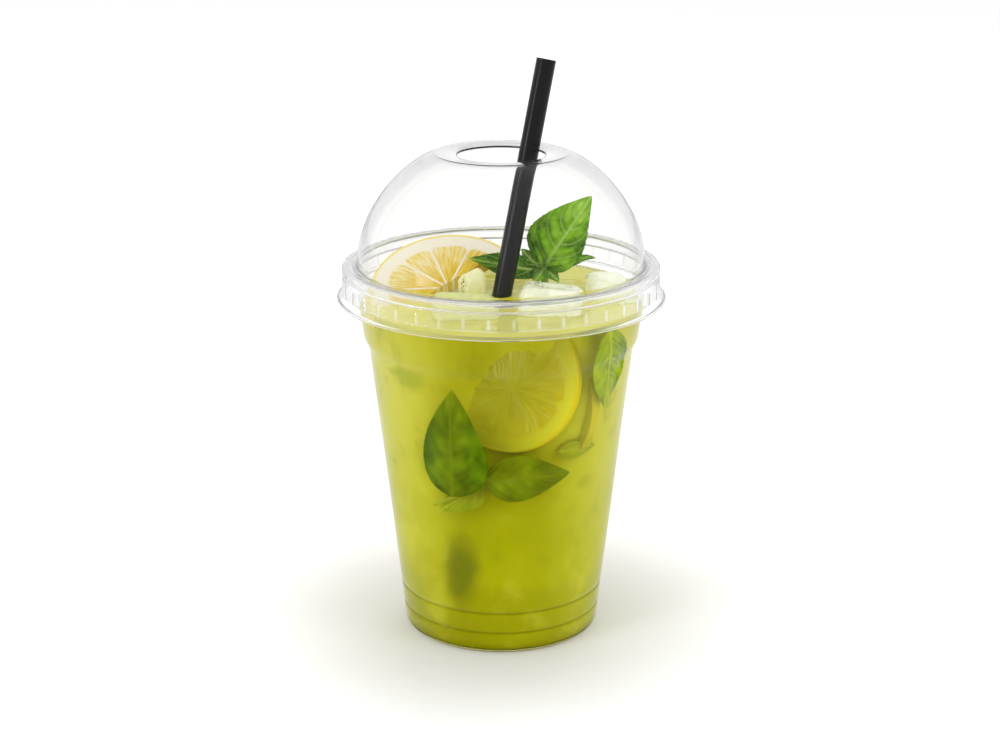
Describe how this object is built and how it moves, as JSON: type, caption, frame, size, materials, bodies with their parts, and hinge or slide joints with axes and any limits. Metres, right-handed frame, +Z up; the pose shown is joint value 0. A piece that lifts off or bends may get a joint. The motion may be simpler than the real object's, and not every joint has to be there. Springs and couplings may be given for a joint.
{
  "type": "takeaway cup of iced lemonade",
  "caption": "Clear tapered takeaway cup of iced lemonade under a domed lid with a sipping hole, holding a straw, ice, a lemon slice and a sprig of basil.",
  "frame": {"origin": "middle of the cup's foot, on the surface it stands on", "axes": "+Z up along the cup's axis; -Y is the front, the side that faces the viewer; +X is to the viewer's right"},
  "size_m": [0.1006, 0.1006, 0.1776],
  "materials": {
    "clear_cup": "clear, smooth, glossy thermoformed plastic",
    "clear_lid": "clear, smooth, glossy thermoformed plastic",
    "black_straw": "smooth satin black plastic",
    "lemonade": "cloudy yellow-green liquid",
    "lemon": "wet lemon flesh, white pith and yellow rind",
    "ice": "clear wet ice with white cores",
    "basil": "fresh green leaf with a soft sheen"
  },
  "bodies": {
    "root": {"cup": "clear_cup", "lid": "clear_lid", "straw": "black_straw", "drink": "lemonade", "lemon_slice": "lemon", "ice_front": "ice", "ice_middle": "ice", "ice_centre": "ice", "ice_right": "ice", "basil_sprig": "basil"}
  },
  "joints": []
}
